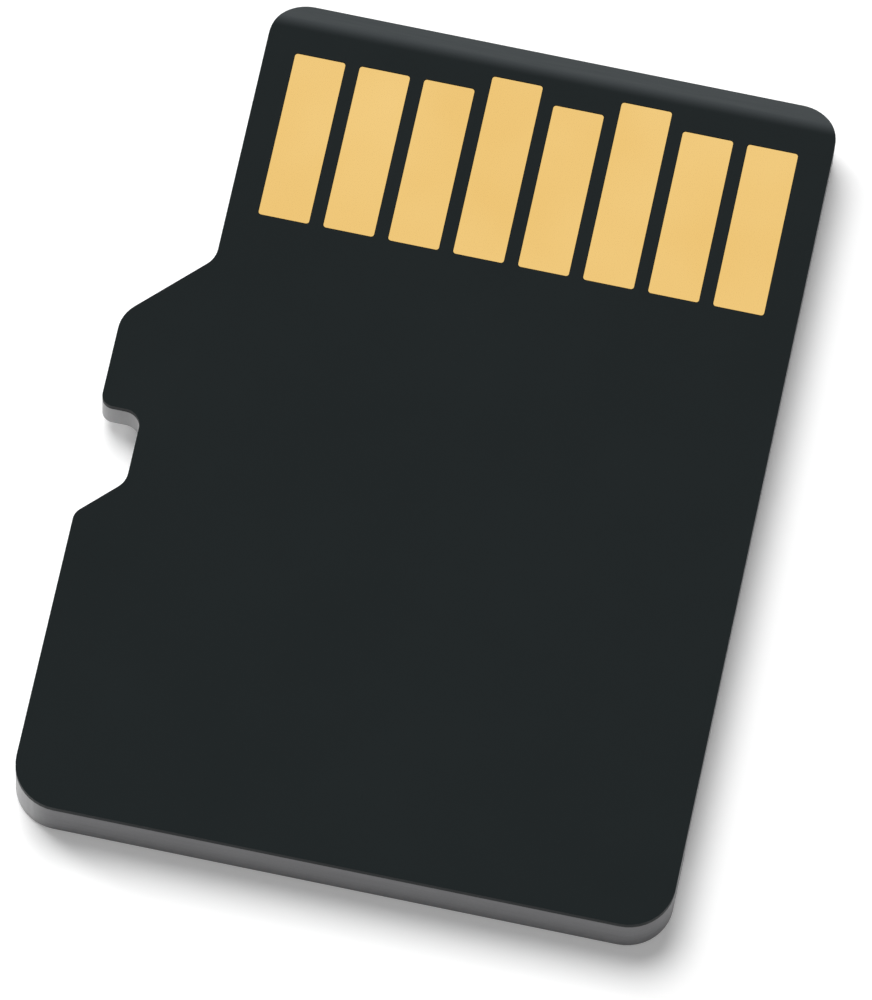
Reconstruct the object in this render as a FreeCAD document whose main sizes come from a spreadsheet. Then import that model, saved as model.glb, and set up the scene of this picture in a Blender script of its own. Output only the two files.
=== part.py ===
import FreeCAD, Part
import math
import os

import Sketcher

# A small removable memory card, lying with its contact side up.
# +X points right and +Y towards the contacts, both seen from the contact side; +Z leaves the contact face.
# The origin is under the middle of the card, level with the underside of the finger lip.

# Driving sizes in millimetres. "From the front" means measured back from the front edge.
DIMENSIONS = {
    # Outline of the card
    "card_width": 11.0,
    "card_length": 15.0,
    "shoulder_step": 1.32,
    "shoulder_from_front": 4.885,
    "land_length": 1.65,
    "notch_depth": 0.72,
    "notch_floor": 1.27,
    "front_corner_radius": 0.66,
    "shoulder_inner_radius": 0.42,
    "shoulder_outer_radius": 0.62,
    "notch_mouth_radius": 0.20,
    "notch_root_radius": 0.28,
    "notch_exit_inner_radius": 0.38,
    "notch_exit_outer_radius": 0.26,
    "rear_corner_radius": 0.78,
    # Thickness of the card and its layers
    "body_thickness": 0.70,
    "mask_thickness": 0.02,
    "laminate_thickness": 0.105,
    # Finger lip across the rear of the label side
    "lip_height": 0.30,
    "lip_width": 1.10,
    "lip_front_radius": 30.0,
    "lip_draft_degrees": 35.0,
    "lip_edge_radius": 0.035,
    # Bevels of the front edge
    "board_bevel_length": 0.36,
    "board_bevel_depth": 0.10,
    "board_bevel_blend_radius": 0.70,
    "nose_bevel_length": 0.20,
    "nose_bevel_depth": 0.12,
    # Contacts
    "contact_edge_margin": 0.544,
    "contact_row_shift": 0.027,
    "contact_gap": 0.245,
    "contact_land": 0.28,
    "short_contact_setback": 0.30,
    "short_contact_length": 3.00,
    "contact_recess": 0.006,
    "contact_corner_radius": 0.05,
    "window_clearance": 0.01,
    # Cover around the moulded block
    "side_wall": 0.50,
    "label_wall": 0.15,
    "block_corner_radius": 0.30,
    # Flash dies, stacked under the board and stepped back from the front
    "flash_die_thickness": 0.075,
    "flash_die_step": 0.45,
    "flash_die_margin": 0.50,
    "stack_from_front": 5.05,
    "attach_film_thickness": 0.02,
    # Controller die beside the stack
    "controller_width": 2.6,
    "controller_length": 2.2,
    "controller_thickness": 0.10,
    # Bond fingers on the inside of the board
    "finger_width": 0.12,
    "finger_length": 0.30,
    "finger_thickness": 0.012,
    "finger_gap": 0.40,
    # Bond wires
    "bond_wire_diameter": 0.025,
    "bond_inset": 0.10,
    "bond_end_margin": 0.30,
    "bond_loop_height": 0.06,
    "bond_tail_height": 0.04,
    # Chip passives in two columns beside the controller
    "passive_length": 0.60,
    "passive_width": 0.30,
    "passive_height": 0.22,
    "end_cap_length": 0.15,
    "end_cap_wrap": 0.01,
    "passive_gap": 0.90,
    "passive_pitch": 0.75,
    "solder_thickness": 0.02,
}

CONTACT_COUNT = 8
LONG_CONTACTS = ("contact_4", "contact_6")
WIRES_PER_FLASH_DIE = 8
WIRES_PER_CONTROLLER_SIDE = 6
# The bond wires are finer than a hair, so eight flats stand for their round section.
WIRE_FLATS = 8

# Edges, rooms and levels that several pieces share, written as expressions on the sheet.
RIGHT_EDGE = "dims.card_width / 2"
LEFT_EDGE = "-dims.card_width / 2"
FRONT_EDGE = "dims.card_length / 2"
REAR_EDGE = "-dims.card_length / 2"
FRONT_LEFT_EDGE = LEFT_EDGE + " + dims.shoulder_step"
FRONT_WIDTH = "(dims.card_width - dims.shoulder_step)"
SECTION_CENTRE = "dims.shoulder_step / 2"
CONTACT_FACE = "(dims.lip_height + dims.body_thickness)"
BOARD_TOP = "(" + CONTACT_FACE + " - dims.mask_thickness)"
BOARD_UNDERSIDE = "(" + BOARD_TOP + " - dims.laminate_thickness)"
# The contacts share the width of the front section, between its side margins, and their row
# is shifted a little towards the stepped edge.
CONTACT_SPAN = "(" + FRONT_WIDTH + " - 2 * dims.contact_edge_margin)"
CONTACT_WIDTH = "((%s - %d * dims.contact_gap) / %d)" % (CONTACT_SPAN, CONTACT_COUNT - 1, CONTACT_COUNT)
CONTACT_PITCH = "(" + CONTACT_WIDTH + " + dims.contact_gap)"
CONTACT_ROW_CENTRE = "(" + SECTION_CENTRE + " - dims.contact_row_shift)"
LONG_CONTACT_FRONT = "(" + FRONT_EDGE + " - dims.board_bevel_length - dims.contact_land)"
SHORT_CONTACT_FRONT = "(" + LONG_CONTACT_FRONT + " - dims.short_contact_setback)"
CONTACT_REAR = "(" + SHORT_CONTACT_FRONT + " - dims.short_contact_length)"
# The moulded block fills the cover between its walls.
BLOCK_WIDTH = "(" + FRONT_WIDTH + " - 2 * dims.side_wall)"
BLOCK_LENGTH = "(dims.card_length - 2 * dims.side_wall)"
BLOCK_HEIGHT = "(" + BOARD_UNDERSIDE + " - dims.lip_height - dims.label_wall)"
# The flash dies reach from the rear of the block to the bond fingers, stepped so that the first leads.
FILM_AND_DIE = "(dims.attach_film_thickness + dims.flash_die_thickness)"
STACK_REAR = "(" + REAR_EDGE + " + dims.side_wall + dims.flash_die_margin)"
STACK_FRONT = "(" + FRONT_EDGE + " - dims.stack_from_front)"
FLASH_DIE_WIDTH = "(" + BLOCK_WIDTH + " - 2 * dims.flash_die_margin)"
FLASH_DIE_LENGTH = "(" + STACK_FRONT + " - " + STACK_REAR + " - dims.flash_die_step)"
FLASH_FINGER_PITCH = "((%s - 2 * dims.bond_end_margin) / %d)" % (FLASH_DIE_WIDTH, 2 * WIRES_PER_FLASH_DIE - 1)
FINGER_REAR = "(" + STACK_FRONT + " + dims.finger_gap)"
# The controller sits in the middle of the room between the bond fingers and the front of the block.
CONTROLLER_CENTRE = "((%s + dims.finger_length + %s - dims.side_wall) / 2)" % (FINGER_REAR, FRONT_EDGE)
CONTROLLER_FINGER_PITCH = "((dims.controller_length - 2 * dims.bond_end_margin) / %d)" % (
    WIRES_PER_CONTROLLER_SIDE - 1
)
CONTROLLER_FINGER_END = "(dims.controller_width / 2 + dims.finger_gap + dims.finger_length)"
PASSIVE_OFFSET = "(" + CONTROLLER_FINGER_END + " + dims.passive_gap + dims.passive_length / 2)"

doc = FreeCAD.newDocument("memory_card")
sheet = doc.addObject("Spreadsheet::Sheet", "dims")
for row, (alias, value) in enumerate(DIMENSIONS.items(), start=1):
    sheet.set("A%d" % row, alias)
    sheet.set("B%d" % row, str(value))
    sheet.setAlias("B%d" % row, alias)
doc.recompute()

sub_parts = []


def number(expression):
    """The value of an expression on the sheet, in millimetres."""
    return float(sheet.evalExpression(expression))


def new_body(label, x="0", y="0", z="0"):
    """An empty body for one sub-part, placed by expressions."""
    body = doc.addObject("PartDesign::Body", label)
    body.Label = label
    for axis, expression in (("x", x), ("y", y), ("z", z)):
        body.setExpression(".Placement.Base." + axis, expression)
    return body


def origin_feature(body, role):
    return next(item for item in body.Origin.OriginFeatures if item.Role == role)


def new_sketch(body, name, plane="XY_Plane"):
    """A sketch on one of the body's own origin planes."""
    sketch = body.newObject("Sketcher::SketchObject", name)
    sketch.AttachmentSupport = [(origin_feature(body, plane), "")]
    sketch.MapMode = "FlatFace"
    return sketch


def bind(sketch, constraint, expression):
    """Add a sketch dimension that follows an expression."""
    index = sketch.addConstraint(constraint)
    sketch.setExpression("Constraints[%d]" % index, expression)


def pin_point(sketch, geometry, position, x, y):
    """Fix a sketch point by its distances from the sketch's origin."""
    bind(sketch, Sketcher.Constraint("DistanceX", -1, 1, geometry, position, number(x)), x)
    bind(sketch, Sketcher.Constraint("DistanceY", -1, 1, geometry, position, number(y)), y)


def add_profile(sketch, corners):
    """Draw a closed outline from corners (x, y, radius); a radius of None leaves the corner sharp."""
    tips = [FreeCAD.Vector(number(x), number(y), 0) for x, y, radius in corners]
    count = len(tips)
    way_in = [(tips[i] - tips[i - 1]).normalize() for i in range(count)]
    way_out = [way_in[(i + 1) % count] for i in range(count)]
    rounding = []
    for (x, y, radius), enter, leave in zip(corners, way_in, way_out):
        turn = math.atan2(enter.cross(leave).z, enter.dot(leave))
        size = number(radius) if radius else 0.0
        rounding.append((turn, size, size * math.tan(abs(turn) / 2)))
    lines = []
    for i in range(count):
        after = (i + 1) % count
        start = tips[i] + way_out[i] * rounding[i][2]
        end = tips[after] - way_in[after] * rounding[after][2]
        lines.append(sketch.addGeometry(Part.LineSegment(start, end)))
    for i, (x, y, radius) in enumerate(corners):
        before = lines[i - 1]
        turn, size, setback = rounding[i]
        if radius is None:
            sketch.addConstraint(Sketcher.Constraint("Coincident", before, 2, lines[i], 1))
            pin_point(sketch, lines[i], 1, x, y)
            continue
        tip = sketch.addGeometry(Part.Point(tips[i]), True)
        pin_point(sketch, tip, 1, x, y)
        sketch.addConstraint(Sketcher.Constraint("PointOnObject", tip, 1, before))
        sketch.addConstraint(Sketcher.Constraint("PointOnObject", tip, 1, lines[i]))
        # The arc's centre lies on the side to which the outline turns.
        side = math.copysign(1.0, turn)
        inward = FreeCAD.Vector(-way_in[i].y, way_in[i].x, 0) * side
        centre = tips[i] - way_in[i] * setback + inward * size
        first = math.atan2(-inward.y, -inward.x)
        last = first + turn
        circle = Part.Circle(centre, FreeCAD.Vector(0, 0, 1), size)
        arc = sketch.addGeometry(Part.ArcOfCircle(circle, min(first, last), max(first, last)))
        arc_start, arc_end = (1, 2) if turn > 0 else (2, 1)
        sketch.addConstraint(Sketcher.Constraint("Tangent", before, 2, arc, arc_start))
        sketch.addConstraint(Sketcher.Constraint("Tangent", arc, arc_end, lines[i], 1))
        bind(sketch, Sketcher.Constraint("Radius", arc, size), radius)


def add_rectangle(sketch, left, right, low, high, radius=None):
    places = [(left, low), (right, low), (right, high), (left, high)]
    add_profile(sketch, [(x, y, radius) for x, y in places])


def add_centred_rectangle(sketch, width, length, radius=None):
    add_rectangle(
        sketch, "-(%s) / 2" % width, "(%s) / 2" % width, "-(%s) / 2" % length, "(%s) / 2" % length, radius
    )


def pad(body, sketch, length, downwards=False):
    """Extrude a sketch up from its plane, or down from it."""
    feature = body.newObject("PartDesign::Pad", sketch.Name + "_pad")
    feature.Profile = sketch
    feature.setExpression("Length", length)
    feature.Reversed = downwards
    doc.recompute()
    return feature


def pocket(body, sketch, depth=None, draft=None):
    """Cut a sketch upwards from its plane, or right through on both sides when no depth is given."""
    before = body.Shape.Volume
    feature = body.newObject("PartDesign::Pocket", sketch.Name + "_pocket")
    feature.Profile = sketch
    if depth is None:
        feature.Type = "ThroughAll"
        feature.SideType = "Symmetric"
    else:
        feature.setExpression("Length", depth)
        feature.Reversed = True
    if draft is not None:
        feature.setExpression("TaperAngle", draft)
    doc.recompute()
    if not feature.Shape.Volume < before:
        raise RuntimeError(sketch.Name + " cut nothing")
    return feature


def repeat_along(body, feature, axis, count, spacing):
    """Repeat a feature in a row along one of the body's own axes."""
    pattern = body.newObject("PartDesign::LinearPattern", feature.Name + "_row")
    pattern.Originals = [feature]
    pattern.Direction = (origin_feature(body, axis), [""])
    pattern.Mode = "Spacing"
    pattern.setExpression("Offset", spacing)
    pattern.Occurrences = count
    body.Tip = pattern
    doc.recompute()
    return pattern


def finish(piece):
    """Keep a piece as one of the card's sub-parts."""
    sub_parts.append(piece)
    return piece


def add_card_outline(sketch):
    """The card's plan: the stepped left edge with its 45 degree shoulder, the notch and the round corners."""
    shoulder_front = FRONT_EDGE + " - dims.shoulder_from_front"
    shoulder_rear = shoulder_front + " - dims.shoulder_step"
    notch_front = shoulder_rear + " - dims.land_length"
    notch_rear = notch_front + " - dims.notch_floor"
    notch_bottom = LEFT_EDGE + " + dims.notch_depth"
    add_profile(
        sketch,
        [
            (RIGHT_EDGE, FRONT_EDGE, "dims.front_corner_radius"),
            (FRONT_LEFT_EDGE, FRONT_EDGE, "dims.front_corner_radius"),
            (FRONT_LEFT_EDGE, shoulder_front, "dims.shoulder_inner_radius"),
            (LEFT_EDGE, shoulder_rear, "dims.shoulder_outer_radius"),
            (LEFT_EDGE, notch_front, "dims.notch_mouth_radius"),
            (notch_bottom, notch_front, "dims.notch_root_radius"),
            (notch_bottom, notch_rear, "dims.notch_exit_inner_radius"),
            (LEFT_EDGE, notch_rear + " - dims.notch_depth", "dims.notch_exit_outer_radius"),
            (LEFT_EDGE, REAR_EDGE, "dims.rear_corner_radius"),
            (RIGHT_EDGE, REAR_EDGE, "dims.rear_corner_radius"),
        ],
    )


def cut_front_bevel(body, name, length, depth, level, downwards, blend_radius=None):
    """Slope the front edge back over a length, meeting the front wall at a depth from the given level."""
    # The cut lies on the face behind the bevel, so that the bevel can blend into the face, and it
    # runs one bevel length past the front edge, so that it clears the wall.
    sketch = new_sketch(body, name, "YZ_Plane")
    inwards, outwards = (" - ", " + ") if downwards else (" + ", " - ")
    behind = FRONT_EDGE + " - 2 * " + length
    back = FRONT_EDGE + " - " + length
    ahead = FRONT_EDGE + " + " + length
    tip_level = level + inwards + "2 * " + depth
    clear_level = level + outwards + depth
    corners = [
        (behind, level, None),
        (back, level, blend_radius),
        (ahead, tip_level, None),
        (ahead, clear_level, None),
        (behind, clear_level, None),
    ]
    if not downwards:
        corners.reverse()
    add_profile(sketch, corners)
    pocket(body, sketch)


def make_housing():
    """The moulded grey cover: full outline, finger lip on the label side, and room for the moulded block."""
    body = new_body("housing")
    plan = new_sketch(body, "housing_plan")
    add_card_outline(plan)
    pad(body, plan, BOARD_UNDERSIDE)

    # Ahead of the lip the label face is lower by the lip's height. Its edge is one wide arc,
    # with its centre far ahead, and leans like the side of a shallow cone.
    clearing = new_sketch(body, "label_face")
    arc_radius = number("dims.lip_front_radius")
    circle = clearing.addGeometry(Part.Circle(FreeCAD.Vector(0, 0, 0), FreeCAD.Vector(0, 0, 1), arc_radius))
    pin_point(clearing, circle, 3, "0", REAR_EDGE + " + dims.lip_width + dims.lip_front_radius")
    bind(clearing, Sketcher.Constraint("Radius", circle, arc_radius), "dims.lip_front_radius")
    face = pocket(body, clearing, "dims.lip_height", "-dims.lip_draft_degrees")

    # The lip's outer edge is only just broken, so that a fingernail catches on it.
    tolerance = 1e-6
    lip_edges = []
    for index, edge in enumerate(face.Shape.Edges, start=1):
        on_underside = abs(edge.BoundBox.ZMin) < tolerance and abs(edge.BoundBox.ZMax) < tolerance
        round_edge = edge.Curve.TypeId == "Part::GeomCircle"
        lip_front = round_edge and abs(edge.Curve.Radius - arc_radius) < tolerance
        if on_underside and not lip_front:
            lip_edges.append("Edge%d" % index)
    rounding = body.newObject("PartDesign::Fillet", "lip_rounding")
    rounding.Base = (face, lip_edges)
    rounding.setExpression("Radius", "dims.lip_edge_radius")
    doc.recompute()

    cut_front_bevel(
        body, "nose_bevel", "dims.nose_bevel_length", "dims.nose_bevel_depth", "dims.lip_height", False
    )

    recess = new_sketch(body, "block_recess")
    recess.setExpression(".AttachmentOffset.Base.z", "dims.lip_height + dims.label_wall")
    recess.setExpression(".AttachmentOffset.Base.x", SECTION_CENTRE)
    add_centred_rectangle(recess, BLOCK_WIDTH, BLOCK_LENGTH, "dims.block_corner_radius")
    pocket(body, recess, BLOCK_HEIGHT)
    return finish(body)


def make_substrate():
    """The printed board: a sheet of black laminate with the card's outline and a sloped front edge."""
    body = new_body("substrate", z=BOARD_UNDERSIDE)
    plan = new_sketch(body, "substrate_plan")
    add_card_outline(plan)
    pad(body, plan, "dims.laminate_thickness")
    cut_front_bevel(
        body,
        "board_bevel",
        "dims.board_bevel_length",
        "dims.board_bevel_depth",
        "dims.laminate_thickness + dims.mask_thickness",
        True,
        "dims.board_bevel_blend_radius",
    )
    return finish(body)


def add_contact_outline(sketch, place, margin):
    """The outline of one contact, counted from the left, with a margin around it."""
    middle = "%s + (%d - (%d + 1) / 2) * %s" % (CONTACT_ROW_CENTRE, place, CONTACT_COUNT, CONTACT_PITCH)
    half = "(%s / 2 + %s)" % (CONTACT_WIDTH, margin)
    front = LONG_CONTACT_FRONT if "contact_%d" % place in LONG_CONTACTS else SHORT_CONTACT_FRONT
    add_rectangle(
        sketch,
        middle + " - " + half,
        middle + " + " + half,
        CONTACT_REAR + " - " + margin,
        front + " + " + margin,
        "dims.contact_corner_radius + " + margin,
    )


def make_mask():
    """The black solder mask over the board, open over each contact."""
    body = new_body("contact_side_mask", z=BOARD_TOP)
    plan = new_sketch(body, "mask_plan")
    add_card_outline(plan)
    pad(body, plan, "dims.mask_thickness")
    for place in range(1, CONTACT_COUNT + 1):
        window = new_sketch(body, "window_%d" % place)
        add_contact_outline(window, place, "dims.window_clearance")
        pocket(body, window, "dims.mask_thickness")
    cut_front_bevel(
        body,
        "mask_bevel",
        "dims.board_bevel_length",
        "dims.board_bevel_depth",
        "dims.mask_thickness",
        True,
        "dims.board_bevel_blend_radius",
    )
    return finish(body)


def make_contact(place):
    """One gold-plated contact, lying on the board a little below the face of the mask."""
    body = new_body("contact_%d" % place, z=BOARD_TOP)
    plan = new_sketch(body, "contact_plan_%d" % place)
    add_contact_outline(plan, place, "0")
    pad(body, plan, "dims.mask_thickness - dims.contact_recess")
    return finish(body)


def make_plate(label, width, length, thickness, y, top):
    """A flat rectangular layer hanging under the given level, such as a die or its adhesive film."""
    body = new_body(label, x=SECTION_CENTRE, y=y, z=top)
    plan = new_sketch(body, label + "_plan")
    add_centred_rectangle(plan, width, length)
    pad(body, plan, thickness, downwards=True)
    return finish(body)


def make_flash_stack():
    """Two flash dies under the board, each on its own film, the second stepped back from the first."""
    pieces = []
    for level in (1, 2):
        middle = "%s - %s / 2 - %d * dims.flash_die_step" % (STACK_FRONT, FLASH_DIE_LENGTH, level - 1)
        film_top = "%s - %d * %s" % (BOARD_UNDERSIDE, level - 1, FILM_AND_DIE)
        die_top = film_top + " - dims.attach_film_thickness"
        layers = [
            ("die_attach_film_%d" % level, "dims.attach_film_thickness", film_top),
            ("flash_die_%d" % level, "dims.flash_die_thickness", die_top),
        ]
        for label, thickness, top in layers:
            pieces.append(make_plate(label, FLASH_DIE_WIDTH, FLASH_DIE_LENGTH, thickness, middle, top))
    return pieces


def make_controller():
    """The controller die on its film, between the stack and the front edge."""
    die_top = BOARD_UNDERSIDE + " - dims.attach_film_thickness"
    layers = [
        ("controller_attach_film", "dims.attach_film_thickness", BOARD_UNDERSIDE),
        ("controller_die", "dims.controller_thickness", die_top),
    ]
    width, length = "dims.controller_width", "dims.controller_length"
    return [make_plate(label, width, length, depth, CONTROLLER_CENTRE, top) for label, depth, top in layers]


def make_flash_fingers():
    """A row of gold-plated bond fingers on the board, ahead of the stack."""
    count = 2 * WIRES_PER_FLASH_DIE
    body = new_body(
        "flash_bond_fingers",
        x="%s - %d / 2 * %s" % (SECTION_CENTRE, count - 1, FLASH_FINGER_PITCH),
        y=FINGER_REAR + " + dims.finger_length / 2",
        z=BOARD_UNDERSIDE,
    )
    plan = new_sketch(body, "flash_finger_plan")
    add_centred_rectangle(plan, "dims.finger_width", "dims.finger_length")
    finger = pad(body, plan, "dims.finger_thickness", downwards=True)
    repeat_along(body, finger, "X_Axis", count, FLASH_FINGER_PITCH)
    return finish(body)


def controller_first_row():
    return "%s - %d / 2 * %s" % (CONTROLLER_CENTRE, WIRES_PER_CONTROLLER_SIDE - 1, CONTROLLER_FINGER_PITCH)


def make_controller_fingers():
    """Two columns of bond fingers, one on each side of the controller."""
    body = new_body(
        "controller_bond_fingers", x=SECTION_CENTRE, y=controller_first_row(), z=BOARD_UNDERSIDE
    )
    inner = "(" + CONTROLLER_FINGER_END + " - dims.finger_length)"
    half = "dims.finger_width / 2"
    plan = new_sketch(body, "controller_finger_plan")
    add_rectangle(plan, inner, CONTROLLER_FINGER_END, "-" + half, half)
    add_rectangle(plan, "-" + CONTROLLER_FINGER_END, "-" + inner, "-" + half, half)
    fingers = pad(body, plan, "dims.finger_thickness", downwards=True)
    repeat_along(body, fingers, "Y_Axis", WIRES_PER_CONTROLLER_SIDE, CONTROLLER_FINGER_PITCH)
    return finish(body)


def add_bond_wire(body, name, plane, reach, die_drop):
    """One bond wire in the body's upright plane, from the die face at the sketch's origin to its finger."""
    # Measured from the die face: the loop hangs lower, the finger lies higher by the drop.
    bottom = "-dims.bond_loop_height"
    tail = "(%s - dims.bond_tail_height)" % die_drop
    stops = [("0", "0"), ("0", bottom), (reach, tail), (reach, die_drop)]
    route = new_sketch(body, name + "_route", plane)
    points = [FreeCAD.Vector(number(x), number(y), 0) for x, y in stops]
    runs = [route.addGeometry(Part.LineSegment(a, b)) for a, b in zip(points, points[1:])]
    for before, after in zip(runs, runs[1:]):
        route.addConstraint(Sketcher.Constraint("Coincident", before, 2, after, 1))
    for run, (x, y) in zip(runs, stops):
        pin_point(route, run, 1, x, y)
    pin_point(route, runs[-1], 2, reach, die_drop)
    section = new_sketch(body, name + "_section")
    tip_radius = "dims.bond_wire_diameter / 2 / cos(%g)" % (180 / WIRE_FLATS)
    tips = []
    for flat in range(WIRE_FLATS):
        angle = (flat + 0.5) * 360 / WIRE_FLATS
        tips.append(("%s * cos(%g)" % (tip_radius, angle), "%s * sin(%g)" % (tip_radius, angle), None))
    add_profile(section, tips)
    wire = body.newObject("PartDesign::AdditivePipe", name)
    wire.Profile = section
    wire.Spine = route
    wire.Transition = "Right corner"
    doc.recompute()
    return wire


def make_flash_wires(level):
    """The row of gold bond wires of one flash die; the two rows take turns along the fingers."""
    step_back = "%d * dims.flash_die_step" % (level - 1)
    place = "(%d / 2 - %d)" % (2 * WIRES_PER_FLASH_DIE - 1, level - 1)
    body = new_body(
        "flash_bond_wires_%d" % level,
        x="%s - %s * %s" % (SECTION_CENTRE, place, FLASH_FINGER_PITCH),
        y="%s - %s - dims.bond_inset" % (STACK_FRONT, step_back),
        z="%s - %d * %s" % (BOARD_UNDERSIDE, level, FILM_AND_DIE),
    )
    reach = "(%s + dims.bond_inset + dims.finger_gap + dims.finger_length / 2)" % step_back
    drop = "(%d * %s - dims.finger_thickness)" % (level, FILM_AND_DIE)
    wire = add_bond_wire(body, "flash_wire_%d" % level, "YZ_Plane", reach, drop)
    repeat_along(body, wire, "X_Axis", WIRES_PER_FLASH_DIE, "2 * " + FLASH_FINGER_PITCH)
    return finish(body)


def make_controller_wires(label, side):
    """The gold bond wires along one side of the controller, 1 for the right and -1 for the left."""
    body = new_body(
        label,
        x="%s + %d * (dims.controller_width / 2 - dims.bond_inset)" % (SECTION_CENTRE, side),
        y=controller_first_row(),
        z=BOARD_UNDERSIDE + " - dims.attach_film_thickness - dims.controller_thickness",
    )
    reach = "%d * (dims.bond_inset + dims.finger_gap + dims.finger_length / 2)" % side
    drop = "(dims.attach_film_thickness + dims.controller_thickness - dims.finger_thickness)"
    wire = add_bond_wire(body, label + "_first", "XZ_Plane", reach, drop)
    repeat_along(body, wire, "Y_Axis", WIRES_PER_CONTROLLER_SIDE, CONTROLLER_FINGER_PITCH)
    return finish(body)


def make_box(name, sizes, places):
    """A plain block whose sizes and low corner are expressions."""
    block = doc.addObject("Part::Box", name)
    for side, expression in zip(("Length", "Width", "Height"), sizes):
        block.setExpression(side, expression)
    for axis, expression in zip("xyz", places):
        block.setExpression(".Placement.Base." + axis, expression)
    return block


def make_passives():
    """Chip capacitors and resistors on both sides of the controller, each on two joints of solder."""
    seats = [
        ("capacitor_1", -1, -1),
        ("capacitor_2", -1, 0),
        ("resistor_1", -1, 1),
        ("capacitor_3", 1, -1),
        ("capacitor_4", 1, 0),
        ("resistor_2", 1, 1),
    ]
    top = BOARD_UNDERSIDE + " - dims.solder_thickness"
    bottom = top + " - dims.passive_height"
    cap_size = ("dims.end_cap_length", "dims.passive_width", "dims.passive_height")
    joint_size = ("dims.end_cap_length", "dims.passive_width", "dims.solder_thickness")
    core_size = (
        "dims.passive_length - 2 * dims.end_cap_length",
        "dims.passive_width - 2 * dims.end_cap_wrap",
        "dims.passive_height - 2 * dims.end_cap_wrap",
    )
    passives = []
    joints = []
    for label, side, place in seats:
        middle = "(%s + %d * %s)" % (SECTION_CENTRE, side, PASSIVE_OFFSET)
        near = "%s + %d * dims.passive_pitch - dims.passive_width / 2" % (CONTROLLER_CENTRE, place)
        left = middle + " - dims.passive_length / 2"
        right = middle + " + dims.passive_length / 2 - dims.end_cap_length"
        core_corner = (
            left + " + dims.end_cap_length",
            near + " + dims.end_cap_wrap",
            bottom + " + dims.end_cap_wrap",
        )
        chip = doc.addObject("Part::MultiFuse", label)
        chip.Label = label
        chip.Shapes = [
            make_box(label + "_left_cap", cap_size, (left, near, bottom)),
            make_box(label + "_core", core_size, core_corner),
            make_box(label + "_right_cap", cap_size, (right, near, bottom)),
        ]
        passives.append(finish(chip))
        joints.append(make_box(label + "_left_joint", joint_size, (left, near, top)))
        joints.append(make_box(label + "_right_joint", joint_size, (right, near, top)))
    solder = doc.addObject("Part::Compound", "solder_joints")
    solder.Label = "solder_joints"
    solder.Links = joints
    doc.recompute()
    return passives + [finish(solder)]


def make_encapsulant(embedded):
    """The black epoxy block moulded around everything on the inside of the board."""
    block = new_body("moulded_block", x=SECTION_CENTRE, z=BOARD_UNDERSIDE)
    plan = new_sketch(block, "moulded_block_plan")
    add_centred_rectangle(plan, BLOCK_WIDTH, BLOCK_LENGTH, "dims.block_corner_radius")
    pad(block, plan, BLOCK_HEIGHT, downwards=True)
    contents = doc.addObject("Part::MultiFuse", "block_contents")
    contents.Shapes = embedded
    epoxy = doc.addObject("Part::Cut", "die_encapsulant")
    epoxy.Label = "die_encapsulant"
    epoxy.Base = block
    epoxy.Tool = contents
    doc.recompute()
    return finish(epoxy)


make_housing()
make_substrate()
make_mask()
for place in range(1, CONTACT_COUNT + 1):
    make_contact(place)
inside = make_flash_stack() + make_controller()
inside += [make_flash_fingers(), make_controller_fingers()]
inside += [make_flash_wires(1), make_flash_wires(2)]
inside += [make_controller_wires("controller_bond_wires_left", -1)]
inside += [make_controller_wires("controller_bond_wires_right", 1)]
inside += make_passives()
make_encapsulant(inside)

doc.recompute()
for item in doc.Objects:
    if "Invalid" in item.State or "Error" in item.State:
        raise RuntimeError("%s failed: %s" % (item.Name, item.State))
for piece in sub_parts:
    if piece.Shape.isNull() or not piece.Shape.isValid():
        raise RuntimeError(piece.Label + " has no valid shape")

os.makedirs("parts", exist_ok=True)
for piece in sub_parts:
    piece.Shape.exportStep("parts/%s.step" % piece.Label)
    box = piece.Shape.BoundBox
    print(
        "%-28s solids %2d volume %9.5f  z %.3f to %.3f"
        % (piece.Label, len(piece.Shape.Solids), piece.Shape.Volume, box.ZMin, box.ZMax)
    )
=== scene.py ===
import math

import bpy
from mathutils import Matrix, Vector


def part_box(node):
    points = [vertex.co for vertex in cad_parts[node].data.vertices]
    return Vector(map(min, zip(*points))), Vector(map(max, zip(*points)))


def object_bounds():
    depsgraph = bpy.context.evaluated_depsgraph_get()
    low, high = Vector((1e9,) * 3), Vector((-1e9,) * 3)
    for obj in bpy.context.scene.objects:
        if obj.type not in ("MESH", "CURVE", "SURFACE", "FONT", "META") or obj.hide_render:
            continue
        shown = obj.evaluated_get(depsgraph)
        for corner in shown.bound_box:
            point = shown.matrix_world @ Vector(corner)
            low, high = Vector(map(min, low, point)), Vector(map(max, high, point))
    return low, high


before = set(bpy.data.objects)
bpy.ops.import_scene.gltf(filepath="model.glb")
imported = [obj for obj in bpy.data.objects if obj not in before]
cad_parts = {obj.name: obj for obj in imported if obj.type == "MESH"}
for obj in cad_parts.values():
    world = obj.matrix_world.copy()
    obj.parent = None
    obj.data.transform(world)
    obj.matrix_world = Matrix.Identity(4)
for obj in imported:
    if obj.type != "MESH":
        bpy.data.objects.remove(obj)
cad_low, cad_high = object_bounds()


# Board: a black laminate of resin and woven glass, about a tenth of a millimetre thick, that
# carries everything else. It is cut from a large panel, and its front edge is ground to a ramp
# that leads the card into its socket.

MM = 0.001

# A Mix node has sockets of the same names for each kind of value, so those for colours go by
# number: the share of the second colour, the two colours and, on the way out, the mixed one.
SHARE = 0
FIRST = 6
SECOND = 7
MIXED = 2


def linear(srgb_hex):
    """A colour written as an sRGB hex value, as the linear RGBA that a socket takes."""
    parts = [int(srgb_hex[i:i + 2], 16) / 255 for i in (1, 3, 5)]
    return [c / 12.92 if c <= 0.04045 else ((c + 0.055) / 1.055) ** 2.4 for c in parts] + [1.0]


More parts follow.
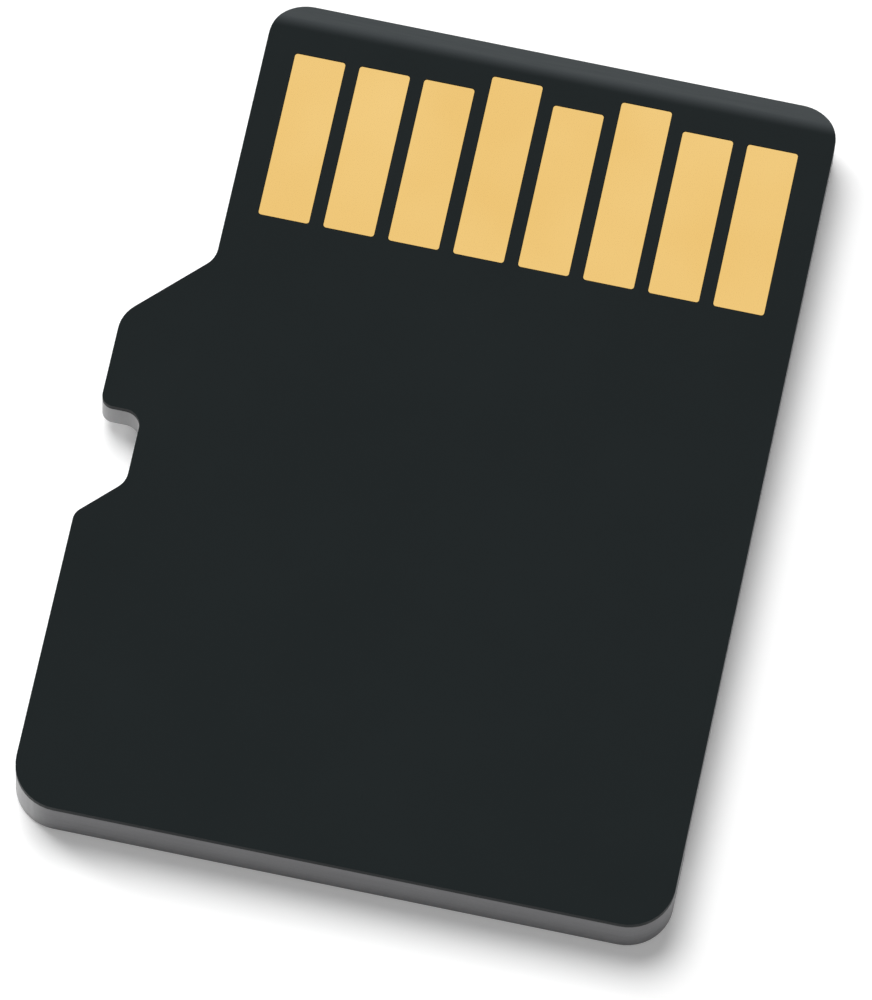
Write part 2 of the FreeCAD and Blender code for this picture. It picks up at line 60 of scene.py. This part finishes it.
def cleared(owner):
    """A material or world with its nodes switched on and none in it yet."""
    owner.use_nodes = True
    owner.node_tree.nodes.clear()
    return owner


def add_node(owner, kind, inputs=None, **settings):
    """Adds one node. An input given as another node's socket is linked, any other value is set."""
    node = owner.node_tree.nodes.new(kind)
    for name, value in settings.items():
        setattr(node, name, value)
    for name, value in (inputs or {}).items():
        if isinstance(value, bpy.types.NodeSocket):
            owner.node_tree.links.new(value, node.inputs[name])
        else:
            node.inputs[name].default_value = value
    return node


def dress(material, *names):
    """Gives a material to CAD pieces that keep their own shape."""
    for name in names:
        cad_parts[name].material_slots[0].material = material


# Cut laminate is dull, with fine scratches across the card where the ramp is ground. The ramp
# is painted paler than the coated face, fading in where the coat thins out: partly the ground
# laminate's own paler tone, partly a painted reflection. The cut sides show dark resin with short
# glass flecks.
LAMINATE_SIDE = "#1B1E1F"
LAMINATE_FLECK = "#2A2E30"
# The ramp's two tones: ground laminate's colour with a painted reflection added.
RAMP_SHEEN_DARK = "#3A3E40"
RAMP_SHEEN_PALE = "#444849"
FRONT_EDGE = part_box("substrate")[1].y
FADE_BEGINS = 0.511 * MM        # behind the front edge, as is the end of the fade
FADE_ENDS = 0.229 * MM
SIDE_RISE = 0.5                 # the upward part of the surface's normal: up to this it is a side
RAMP_RISE = 0.8                 # and from this the ramp
SCRATCH_LENGTH = 0.9 * MM
SCRATCH_WIDTH = 0.045 * MM      # real grinding scratches are near 0.01 mm, too fine to show


def thinning_coat_and_sheen(material, place):
    """A socket that rises from 0, where the coat is whole, to 1, where the ramp is ground bare and
    carries the painted reflection.
    """
    where = add_node(material, "ShaderNodeSeparateXYZ", {"Vector": place.outputs["Object"]})
    fade = add_node(material, "ShaderNodeMapRange", {
        "Value": where.outputs["Y"],
        "From Min": FRONT_EDGE - FADE_BEGINS, "From Max": FRONT_EDGE - FADE_ENDS},
        interpolation_type="SMOOTHSTEP")
    return fade.outputs["Result"]


laminate = cleared(bpy.data.materials.new("ground_black_glass_laminate"))
place = add_node(laminate, "ShaderNodeTexCoord")
stretched = add_node(laminate, "ShaderNodeMapping", {
    "Vector": place.outputs["Object"],
    "Scale": (1 / SCRATCH_LENGTH, 1 / SCRATCH_WIDTH, 1 / SCRATCH_WIDTH)})
scratches = add_node(laminate, "ShaderNodeTexNoise", {
    "Vector": stretched.outputs["Vector"], "Scale": 1.0, "Detail": 3.0, "Roughness": 0.6})
side_colour = add_node(laminate, "ShaderNodeMix", {
    SHARE: scratches.outputs["Fac"], FIRST: linear(LAMINATE_SIDE), SECOND: linear(LAMINATE_FLECK)},
    data_type="RGBA")
ground_and_sheen_colour = add_node(laminate, "ShaderNodeMix", {
    SHARE: scratches.outputs["Fac"], FIRST: linear(RAMP_SHEEN_DARK), SECOND: linear(RAMP_SHEEN_PALE)},
    data_type="RGBA")
# The ramp is paled as a painted reflection as well as for the ground laminate.
ramp_and_sheen_colour = add_node(laminate, "ShaderNodeMix", {
    SHARE: thinning_coat_and_sheen(laminate, place),
    FIRST: linear(LAMINATE_SIDE), SECOND: ground_and_sheen_colour.outputs[MIXED]}, data_type="RGBA")
facing = add_node(laminate, "ShaderNodeSeparateXYZ", {"Vector": place.outputs["Normal"]})
on_ramp = add_node(laminate, "ShaderNodeMapRange", {
    "Value": facing.outputs["Z"], "From Min": SIDE_RISE, "From Max": RAMP_RISE})
laminate_colour = add_node(laminate, "ShaderNodeMix", {
    SHARE: on_ramp.outputs["Result"],
    FIRST: side_colour.outputs[MIXED], SECOND: ramp_and_sheen_colour.outputs[MIXED]}, data_type="RGBA")
laminate_relief = add_node(laminate, "ShaderNodeBump", {
    "Height": scratches.outputs["Fac"], "Strength": 0.35, "Distance": 0.004 * MM})
laminate_shader = add_node(laminate, "ShaderNodeBsdfPrincipled", {
    "Base Color": laminate_colour.outputs[MIXED], "Roughness": 0.55, "IOR": 1.5,
    "Specular IOR Level": 0.1, "Normal": laminate_relief.outputs["Normal"]})
add_node(laminate, "ShaderNodeOutputMaterial", {"Surface": laminate_shader.outputs["BSDF"]})
dress(laminate, "substrate")


# Contacts: eight lands of copper foil, etched from the board's outer layer and plated with
# nickel and then hard gold. Two of them reach further forward, so that power is made first.

# Hard gold over etched copper is satin: it keeps the foil's fine grain, and the socket's
# springs wipe it lengthwise, so its highlights are soft with a faint lengthwise brushing.
CONTACT_COUNT = 8
GOLD_PALE = "#F3CE84"
GOLD_DEEP = "#EBC06F"
GOLD_TINT_SPREAD = 2.2 * MM
FOIL_GRAIN = 0.05 * MM          # real foil grain is near 0.005 mm, too fine to show
WIPE_LENGTH = 1.6 * MM
WIPE_WIDTH = 0.035 * MM
NOISE_LOW = 0.3                 # a noise texture seldom goes lower than this
NOISE_HIGH = 0.7                # or higher than this
gold = cleared(bpy.data.materials.new("hard_gold_plating"))
place = add_node(gold, "ShaderNodeTexCoord")
tint = add_node(gold, "ShaderNodeTexNoise", {
    "Vector": place.outputs["Object"], "Scale": 1 / GOLD_TINT_SPREAD, "Detail": 2.0})
gold_colour = add_node(gold, "ShaderNodeMix", {
    SHARE: tint.outputs["Fac"], FIRST: linear(GOLD_DEEP), SECOND: linear(GOLD_PALE)},
    data_type="RGBA")
grain = add_node(gold, "ShaderNodeTexNoise", {
    "Vector": place.outputs["Object"], "Scale": 1 / FOIL_GRAIN, "Detail": 2.0})
along_card = add_node(gold, "ShaderNodeMapping", {
    "Vector": place.outputs["Object"],
    "Scale": (1 / WIPE_WIDTH, 1 / WIPE_LENGTH, 1 / WIPE_LENGTH)})
wipes = add_node(gold, "ShaderNodeTexNoise", {
    "Vector": along_card.outputs["Vector"], "Scale": 1.0, "Detail": 2.0})
gold_roughness = add_node(gold, "ShaderNodeMapRange", {
    "Value": wipes.outputs["Fac"], "From Min": NOISE_LOW, "From Max": NOISE_HIGH,
    "To Min": 0.22, "To Max": 0.30})
wipe_relief = add_node(gold, "ShaderNodeBump", {
    "Height": wipes.outputs["Fac"], "Strength": 0.12, "Distance": 0.002 * MM})
grain_relief = add_node(gold, "ShaderNodeBump", {
    "Height": grain.outputs["Fac"], "Strength": 0.18, "Distance": 0.002 * MM,
    "Normal": wipe_relief.outputs["Normal"]})
gold_shader = add_node(gold, "ShaderNodeBsdfPrincipled", {
    "Base Color": gold_colour.outputs[MIXED], "Metallic": 1.0,
    "Roughness": gold_roughness.outputs["Result"], "Normal": grain_relief.outputs["Normal"]})
add_node(gold, "ShaderNodeOutputMaterial", {"Surface": gold_shader.outputs["BSDF"]})
dress(gold, *[f"contact_{number}" for number in range(1, CONTACT_COUNT + 1)])


# Solder mask: a coat of black resist, two hundredths of a millimetre thick, printed over the
# outer face of the board and opened over each contact.

# Cured resist is matt and nearly even: it scatters most light, shows the faintest orange peel
# where it levelled before curing, and its pigment is a little uneven. Along the front it is ground
# away with the ramp and painted paler as it thins: partly the bare laminate showing through,
# partly a painted reflection.
RESIST_DARK = "#161B1C"
RESIST_PALE = "#1A1F20"
# The thinning coat's pale colour is partly a painted reflection.
RESIST_THIN_SHEEN = "#3F4345"
PIGMENT_SPREAD = 1.8 * MM
ORANGE_PEEL = 0.22 * MM
RESIST_GRAIN = 0.05 * MM        # real filler grains are near 0.003 mm, too fine to show
resist = cleared(bpy.data.materials.new("matt_black_solder_resist"))
place = add_node(resist, "ShaderNodeTexCoord")
pigment = add_node(resist, "ShaderNodeTexNoise", {
    "Vector": place.outputs["Object"], "Scale": 1 / PIGMENT_SPREAD, "Detail": 3.0})
full_coat = add_node(resist, "ShaderNodeMix", {
    SHARE: pigment.outputs["Fac"], FIRST: linear(RESIST_DARK), SECOND: linear(RESIST_PALE)},
    data_type="RGBA")
resist_colour = add_node(resist, "ShaderNodeMix", {
    SHARE: thinning_coat_and_sheen(resist, place),
    FIRST: full_coat.outputs[MIXED], SECOND: linear(RESIST_THIN_SHEEN)}, data_type="RGBA")
peel = add_node(resist, "ShaderNodeTexNoise", {
    "Vector": place.outputs["Object"], "Scale": 1 / ORANGE_PEEL, "Detail": 1.0})
filler = add_node(resist, "ShaderNodeTexNoise", {
    "Vector": place.outputs["Object"], "Scale": 1 / RESIST_GRAIN, "Detail": 2.0})
resist_roughness = add_node(resist, "ShaderNodeMapRange", {
    "Value": filler.outputs["Fac"], "From Min": NOISE_LOW, "From Max": NOISE_HIGH,
    "To Min": 0.5, "To Max": 0.58})
peel_relief = add_node(resist, "ShaderNodeBump", {
    "Height": peel.outputs["Fac"], "Strength": 0.2, "Distance": 0.003 * MM})
filler_relief = add_node(resist, "ShaderNodeBump", {
    "Height": filler.outputs["Fac"], "Strength": 0.2, "Distance": 0.002 * MM,
    "Normal": peel_relief.outputs["Normal"]})
resist_shader = add_node(resist, "ShaderNodeBsdfPrincipled", {
    "Base Color": resist_colour.outputs[MIXED], "Roughness": resist_roughness.outputs["Result"],
    "IOR": 1.5, "Specular IOR Level": 0.1, "Normal": filler_relief.outputs["Normal"]})
add_node(resist, "ShaderNodeOutputMaterial", {"Surface": resist_shader.outputs["BSDF"]})
dress(resist, "contact_side_mask")


# Bond fingers and bond wires: plated pads on the inner face of the board, and the hair-thin
# gold wires that are welded to them by heat and ultrasound from each chip's edge.

# Drawn and plated pure gold is deeper in colour than the hard gold outside and brighter, with
# a fine grain left by the drawing die and the plating bath.
SOFT_GOLD_PALE = "#FFD780"
SOFT_GOLD_DEEP = "#F2C15E"
SOFT_GOLD_GRAIN = 0.006 * MM
soft_gold = cleared(bpy.data.materials.new("drawn_soft_gold"))
place = add_node(soft_gold, "ShaderNodeTexCoord")
soft_grain = add_node(soft_gold, "ShaderNodeTexNoise", {
    "Vector": place.outputs["Object"], "Scale": 1 / SOFT_GOLD_GRAIN, "Detail": 2.0})
soft_gold_colour = add_node(soft_gold, "ShaderNodeMix", {
    SHARE: soft_grain.outputs["Fac"],
    FIRST: linear(SOFT_GOLD_DEEP), SECOND: linear(SOFT_GOLD_PALE)}, data_type="RGBA")
soft_gold_roughness = add_node(soft_gold, "ShaderNodeMapRange", {
    "Value": soft_grain.outputs["Fac"], "To Min": 0.18, "To Max": 0.3})
soft_gold_shader = add_node(soft_gold, "ShaderNodeBsdfPrincipled", {
    "Base Color": soft_gold_colour.outputs[MIXED], "Metallic": 1.0,
    "Roughness": soft_gold_roughness.outputs["Result"]})
add_node(soft_gold, "ShaderNodeOutputMaterial", {"Surface": soft_gold_shader.outputs["BSDF"]})
dress(soft_gold, *[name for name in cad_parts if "bond_" in name])


# Chip capacitors and resistors: small fired ceramic blocks that steady the supply, placed by
# machine beside the chips.

# Fired ceramic is dull and slightly mottled by its grains.
CERAMIC_DARK = "#7A5E43"
CERAMIC_PALE = "#947453"
CERAMIC_GRAIN = 0.03 * MM
ceramic = cleared(bpy.data.materials.new("fired_capacitor_ceramic"))
place = add_node(ceramic, "ShaderNodeTexCoord")
ceramic_grain = add_node(ceramic, "ShaderNodeTexNoise", {
    "Vector": place.outputs["Object"], "Scale": 1 / CERAMIC_GRAIN, "Detail": 3.0})
ceramic_colour = add_node(ceramic, "ShaderNodeMix", {
    SHARE: ceramic_grain.outputs["Fac"],
    FIRST: linear(CERAMIC_DARK), SECOND: linear(CERAMIC_PALE)}, data_type="RGBA")
ceramic_shader = add_node(ceramic, "ShaderNodeBsdfPrincipled", {
    "Base Color": ceramic_colour.outputs[MIXED], "Roughness": 0.6, "IOR": 1.7})
add_node(ceramic, "ShaderNodeOutputMaterial", {"Surface": ceramic_shader.outputs["BSDF"]})
dress(ceramic, *[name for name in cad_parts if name.startswith(("capacitor", "resistor"))])


# Solder joints: tin alloy that was printed as paste under the ends of each chip part and
# melted in an oven, so it holds the part and joins it to the board.

# Reflowed tin alloy is a pale satin metal with a frosted, uneven skin.
SOLDER_DARK = "#A9ABAD"
SOLDER_PALE = "#C6C8CA"
SOLDER_FROST = 0.03 * MM
solder = cleared(bpy.data.materials.new("reflowed_tin_solder"))
place = add_node(solder, "ShaderNodeTexCoord")
frost = add_node(solder, "ShaderNodeTexNoise", {
    "Vector": place.outputs["Object"], "Scale": 1 / SOLDER_FROST, "Detail": 3.0})
solder_colour = add_node(solder, "ShaderNodeMix", {
    SHARE: frost.outputs["Fac"], FIRST: linear(SOLDER_DARK), SECOND: linear(SOLDER_PALE)},
    data_type="RGBA")
solder_roughness = add_node(solder, "ShaderNodeMapRange", {
    "Value": frost.outputs["Fac"], "To Min": 0.25, "To Max": 0.45})
solder_shader = add_node(solder, "ShaderNodeBsdfPrincipled", {
    "Base Color": solder_colour.outputs[MIXED], "Metallic": 1.0,
    "Roughness": solder_roughness.outputs["Result"]})
add_node(solder, "ShaderNodeOutputMaterial", {"Surface": solder_shader.outputs["BSDF"]})
dress(solder, "solder_joints")


# Chips: two memory chips stacked with a step, and a small controller beside them, nearer the
# contacts. They are sawn from silicon wafers that were ground thin.

# Ground silicon is dark grey and fairly bright, with fine arcs left by the grinding wheel.
SILICON_DARK = "#4A4C52"
SILICON_PALE = "#5A5C63"
GRINDING_MARK = 0.02 * MM
WAVE_RADIANS = 20               # the angle that a wave texture of scale 1 turns through in one unit
silicon = cleared(bpy.data.materials.new("ground_silicon"))
place = add_node(silicon, "ShaderNodeTexCoord")
grinding = add_node(silicon, "ShaderNodeTexWave", {
    "Vector": place.outputs["Object"], "Scale": 2 * math.pi / (WAVE_RADIANS * GRINDING_MARK),
    "Distortion": 2.0}, wave_type="RINGS", rings_direction="Z")
silicon_colour = add_node(silicon, "ShaderNodeMix", {
    SHARE: grinding.outputs["Fac"], FIRST: linear(SILICON_DARK), SECOND: linear(SILICON_PALE)},
    data_type="RGBA")
silicon_shader = add_node(silicon, "ShaderNodeBsdfPrincipled", {
    "Base Color": silicon_colour.outputs[MIXED], "Roughness": 0.3, "IOR": 3.5})
add_node(silicon, "ShaderNodeOutputMaterial", {"Surface": silicon_shader.outputs["BSDF"]})
dress(silicon, "flash_die_1", "flash_die_2", "controller_die")


# Attach films: thin sheets of sticky resin, laminated to the back of each wafer before it is
# sawn, that glue each chip to what carries it.

# The cured film is cloudy and the colour of weak tea, with a soft gloss.
FILM_DARK = "#8C8064"
FILM_PALE = "#A39778"
FILM_CLOUD = 0.25 * MM
film = cleared(bpy.data.materials.new("cured_attach_film"))
place = add_node(film, "ShaderNodeTexCoord")
cloud = add_node(film, "ShaderNodeTexNoise", {
    "Vector": place.outputs["Object"], "Scale": 1 / FILM_CLOUD, "Detail": 2.0})
film_colour = add_node(film, "ShaderNodeMix", {
    SHARE: cloud.outputs["Fac"], FIRST: linear(FILM_DARK), SECOND: linear(FILM_PALE)},
    data_type="RGBA")
film_shader = add_node(film, "ShaderNodeBsdfPrincipled", {
    "Base Color": film_colour.outputs[MIXED], "Roughness": 0.45, "IOR": 1.55})
add_node(film, "ShaderNodeOutputMaterial", {"Surface": film_shader.outputs["BSDF"]})
dress(film, *[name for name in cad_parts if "attach_film" in name])


# Encapsulant: a block of black epoxy, moulded over the chips, wires and chip parts in one
# shot, that locks them to the board.

# Filled epoxy is a matt black, speckled by the fused silica that fills it.
EPOXY_DARK = "#1A1A1B"
EPOXY_PALE = "#272728"
SILICA_FILLER = 0.04 * MM
epoxy = cleared(bpy.data.materials.new("silica_filled_black_epoxy"))
place = add_node(epoxy, "ShaderNodeTexCoord")
silica = add_node(epoxy, "ShaderNodeTexNoise", {
    "Vector": place.outputs["Object"], "Scale": 1 / SILICA_FILLER, "Detail": 2.0})
epoxy_colour = add_node(epoxy, "ShaderNodeMix", {
    SHARE: silica.outputs["Fac"], FIRST: linear(EPOXY_DARK), SECOND: linear(EPOXY_PALE)},
    data_type="RGBA")
epoxy_shader = add_node(epoxy, "ShaderNodeBsdfPrincipled", {
    "Base Color": epoxy_colour.outputs[MIXED], "Roughness": 0.6, "IOR": 1.55})
add_node(epoxy, "ShaderNodeOutputMaterial", {"Surface": epoxy_shader.outputs["BSDF"]})
dress(epoxy, "die_encapsulant")


# Cover: the grey outer moulding, with the finger lip across the rear of its label face. It is
# moulded over a whole panel of boards. The saw then cuts the plain edges and a water jet the
# stepped one, so the board's edge shows as a thin black line.

# The resin is matt: the mould's spark-eroded steel leaves it finely pebbled. The saw leaves
# faint level streaks on the plain edges. The jet leaves fine upright lines along the stepped edge,
# which is painted paler: painted light, for the light that falls on it from the left and from the
# card in the notch.
COVER_DARK = "#7E7E80"
COVER_PALE = "#8A8A8C"
# Painted light: the stepped edge's colours are paler to stand for light falling on it from the left.
LIT_STEP_DARK = "#ABABAC"
LIT_STEP_PALE = "#BABABB"
PEBBLE = 0.06 * MM              # real spark-eroded texture is near 0.02 mm, too fine to show
STREAK_LENGTH = 1.4 * MM
STREAK_HEIGHT = 0.05 * MM
JET_LINE = 0.06 * MM            # the real lines are near 0.02 mm apart, too fine to show
SHOULDER_STEP = 1.32 * MM       # from the left end of the cover in to the front stretch
CORNER_RUNOUT = 0.1 * MM        # over which the jet's cut gives way to the saw's at a corner
UPRIGHT_LEAN = 0.2              # the up or down part of the normal: up to this it is a cut edge
LEVEL_LEAN = 0.5                # and from this a moulded face
cover_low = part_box("housing")[0]
shoulder_x = cover_low.x + SHOULDER_STEP
cover = cleared(bpy.data.materials.new("moulded_grey_resin"))
place = add_node(cover, "ShaderNodeTexCoord")
pebbles = add_node(cover, "ShaderNodeTexNoise", {
    "Vector": place.outputs["Object"], "Scale": 1 / PEBBLE, "Detail": 2.0})
drawn_level = add_node(cover, "ShaderNodeMapping", {
    "Vector": place.outputs["Object"],
    "Scale": (1 / STREAK_LENGTH, 1 / STREAK_LENGTH, 1 / STREAK_HEIGHT)})
streaks = add_node(cover, "ShaderNodeTexNoise", {
    "Vector": drawn_level.outputs["Vector"], "Scale": 1.0, "Detail": 2.0})
sawn_colour = add_node(cover, "ShaderNodeMix", {
    SHARE: streaks.outputs["Fac"], FIRST: linear(COVER_DARK), SECOND: linear(COVER_PALE)},
    data_type="RGBA")
drawn_upright = add_node(cover, "ShaderNodeMapping", {
    "Vector": place.outputs["Object"],
    "Scale": (1 / JET_LINE, 1 / JET_LINE, 1 / STREAK_LENGTH)})
jet_lines = add_node(cover, "ShaderNodeTexNoise", {
    "Vector": drawn_upright.outputs["Vector"], "Scale": 1.0, "Detail": 2.0})
lit_step_colour = add_node(cover, "ShaderNodeMix", {
    SHARE: jet_lines.outputs["Fac"], FIRST: linear(LIT_STEP_DARK), SECOND: linear(LIT_STEP_PALE)},
    data_type="RGBA")
where = add_node(cover, "ShaderNodeSeparateXYZ", {"Vector": place.outputs["Object"]})
stepped_side = add_node(cover, "ShaderNodeMapRange", {
    "Value": where.outputs["X"], "From Min": shoulder_x, "From Max": shoulder_x + CORNER_RUNOUT,
    "To Min": 1.0, "To Max": 0.0})
ahead_of_rear = add_node(cover, "ShaderNodeMapRange", {
    "Value": where.outputs["Y"],
    "From Min": cover_low.y, "From Max": cover_low.y + CORNER_RUNOUT})
stepped_edge = add_node(cover, "ShaderNodeMath", {
    0: stepped_side.outputs["Result"], 1: ahead_of_rear.outputs["Result"]}, operation="MULTIPLY")
facing = add_node(cover, "ShaderNodeSeparateXYZ", {"Vector": place.outputs["Normal"]})
lean = add_node(cover, "ShaderNodeMath", {0: facing.outputs["Z"]}, operation="ABSOLUTE")
upright = add_node(cover, "ShaderNodeMapRange", {
    "Value": lean.outputs["Value"], "From Min": UPRIGHT_LEAN, "From Max": LEVEL_LEAN,
    "To Min": 1.0, "To Max": 0.0})
# Where the stepped edge stands upright, it gets the painted light.
painted_light_on_step = add_node(cover, "ShaderNodeMath", {
    0: stepped_edge.outputs["Value"], 1: upright.outputs["Result"]}, operation="MULTIPLY")
cover_colour = add_node(cover, "ShaderNodeMix", {
    SHARE: painted_light_on_step.outputs["Value"],
    FIRST: sawn_colour.outputs[MIXED], SECOND: lit_step_colour.outputs[MIXED]}, data_type="RGBA")
cover_roughness = add_node(cover, "ShaderNodeMapRange", {
    "Value": pebbles.outputs["Fac"], "From Min": NOISE_LOW, "From Max": NOISE_HIGH,
    "To Min": 0.5, "To Max": 0.6})
pebble_relief = add_node(cover, "ShaderNodeBump", {
    "Height": pebbles.outputs["Fac"], "Strength": 0.3, "Distance": 0.006 * MM})
cover_shader = add_node(cover, "ShaderNodeBsdfPrincipled", {
    "Base Color": cover_colour.outputs[MIXED], "Roughness": cover_roughness.outputs["Result"],
    "IOR": 1.5, "Specular IOR Level": 0.3, "Normal": pebble_relief.outputs["Normal"]})
add_node(cover, "ShaderNodeOutputMaterial", {"Surface": cover_shader.outputs["BSDF"]})
dress(cover, "housing")


# Table: a sheet of white card, level with the underside of the finger lip, which is all of the
# part that touches it. The front stands clear by the lip's height, so the shadow is evenly wide.
TABLE_HALF = 150 * MM
table_top = cad_low.z
table_mesh = bpy.data.meshes.new("table")
table_mesh.from_pydata([(-TABLE_HALF, -TABLE_HALF, table_top), (TABLE_HALF, -TABLE_HALF, table_top),
                        (TABLE_HALF, TABLE_HALF, table_top), (-TABLE_HALF, TABLE_HALF, table_top)],
                       [], [(0, 1, 2, 3)])
table = bpy.data.objects.new("table", table_mesh)
bpy.context.scene.collection.objects.link(table)


def looked_at(owner):
    """A socket that is 1 for rays from the camera, a mirror or glass, and 0 for those that light."""
    ray = add_node(owner, "ShaderNodeLightPath")
    seen_or_mirrored = add_node(owner, "ShaderNodeMath", {
        0: ray.outputs["Is Camera Ray"], 1: ray.outputs["Is Glossy Ray"]}, operation="MAXIMUM")
    seen = add_node(owner, "ShaderNodeMath", {
        0: seen_or_mirrored.outputs["Value"], 1: ray.outputs["Is Transmission Ray"]},
        operation="MAXIMUM")
    return seen.outputs["Value"]


# White card scatters evenly. A little glow that only the camera and reflections see makes it
# pure white where nothing shades it, and the shadow stays. From below it is see-through.
CARD_WHITE = "#F3F3F3"
CARD_GLOW = 0.22
white_card = cleared(bpy.data.materials.new("white_card"))
glow_strength = add_node(white_card, "ShaderNodeMath", {
    0: looked_at(white_card), 1: CARD_GLOW}, operation="MULTIPLY")
scatter = add_node(white_card, "ShaderNodeBsdfDiffuse", {"Color": linear(CARD_WHITE)})
glow = add_node(white_card, "ShaderNodeEmission", {"Strength": glow_strength.outputs["Value"]})
upper_face = add_node(white_card, "ShaderNodeAddShader", {
    0: scatter.outputs["BSDF"], 1: glow.outputs["Emission"]})
under_face = add_node(white_card, "ShaderNodeBsdfTransparent")
sheet = add_node(white_card, "ShaderNodeNewGeometry")
both_faces = add_node(white_card, "ShaderNodeMixShader", {
    0: sheet.outputs["Backfacing"], 1: upper_face.outputs["Shader"], 2: under_face.outputs["BSDF"]})
add_node(white_card, "ShaderNodeOutputMaterial", {"Surface": both_faces.outputs["Shader"]})
table_mesh.materials.append(white_card)


# Light: a dim white room, a round softbox high up at the front left, and a smaller lamp lower
# down and further round to the left. Both lamps are polarised and the camera is filtered against
# them, so they light and shade but aren't mirrored: metal mirrors a white room.
ROOM_WHITE = "#FFFFFF"
ROOM_DIM = 0.155
room = cleared(bpy.data.worlds.new("white_room"))
room_strength = add_node(room, "ShaderNodeMapRange", {
    "Value": looked_at(room), "To Min": ROOM_DIM})
room_shader = add_node(room, "ShaderNodeBackground", {
    "Color": linear(ROOM_WHITE), "Strength": room_strength.outputs["Result"]})
add_node(room, "ShaderNodeOutputWorld", {"Surface": room_shader.outputs["Background"]})
bpy.context.scene.world = room

LAMP_DISTANCE = 1200 * MM
SOFTBOX_DIRECTION = (-0.266, 0.417, 0.869)
SOFTBOX_WIDTH = 800 * MM
SOFTBOX_WATTS = 13.7
LEFT_LAMP_DIRECTION = (-0.768, 0.480, 0.423)
LEFT_LAMP_WIDTH = 380 * MM
LEFT_LAMP_WATTS = 4.7
for name, direction, width, watts in (
        ("softbox", SOFTBOX_DIRECTION, SOFTBOX_WIDTH, SOFTBOX_WATTS),
        ("left_lamp", LEFT_LAMP_DIRECTION, LEFT_LAMP_WIDTH, LEFT_LAMP_WATTS)):
    lamp = bpy.data.lights.new(name, "AREA")
    lamp.shape = "DISK"
    lamp.size = width
    lamp.energy = watts
    stand = bpy.data.objects.new(name, lamp)
    towards_lamp = Vector(direction).normalized()
    stand.location = towards_lamp * LAMP_DISTANCE
    stand.rotation_euler = towards_lamp.to_track_quat("Z", "Y").to_euler()
    stand.visible_glossy = False
    bpy.context.scene.collection.objects.link(stand)


# Camera: a long lens far off, above the rear of the card and turned a little, as in the
# photograph. The place and turn were fitted to the card's outline.
FRAME_WIDTH, FRAME_HEIGHT = 872, 1000
SENSOR = 36.0
FOCAL_PIXELS = 12039
AZIMUTH = math.radians(8.057)
ELEVATION = math.radians(67.774)
ROLL = math.radians(4.017)
DISTANCE = 199.03 * MM
AIM_RIGHT = 0.105 * MM
AIM_UP = -0.823 * MM
NEAREST = 10 * MM
FURTHEST = 1000 * MM
face_middle = Vector((0.0, 0.0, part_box("contact_side_mask")[1].z))
back = Vector((math.sin(AZIMUTH) * math.cos(ELEVATION),
               -math.cos(AZIMUTH) * math.cos(ELEVATION), math.sin(ELEVATION)))
level_right = Vector((math.cos(AZIMUTH), math.sin(AZIMUTH), 0.0))
level_up = back.cross(level_right)
right = level_right * math.cos(ROLL) + level_up * math.sin(ROLL)
up = level_up * math.cos(ROLL) - level_right * math.sin(ROLL)
lens = bpy.data.cameras.new("camera")
lens.sensor_width = SENSOR
lens.lens = FOCAL_PIXELS * SENSOR / max(FRAME_WIDTH, FRAME_HEIGHT)
lens.clip_start = NEAREST
lens.clip_end = FURTHEST
camera = bpy.data.objects.new("camera", lens)
camera.matrix_world = Matrix.Translation(
    face_middle + back * DISTANCE + right * AIM_RIGHT + up * AIM_UP
) @ Matrix((right, up, back)).transposed().to_4x4()
bpy.context.scene.collection.objects.link(camera)
bpy.context.scene.camera = camera
bpy.context.scene.view_settings.view_transform = "Standard"
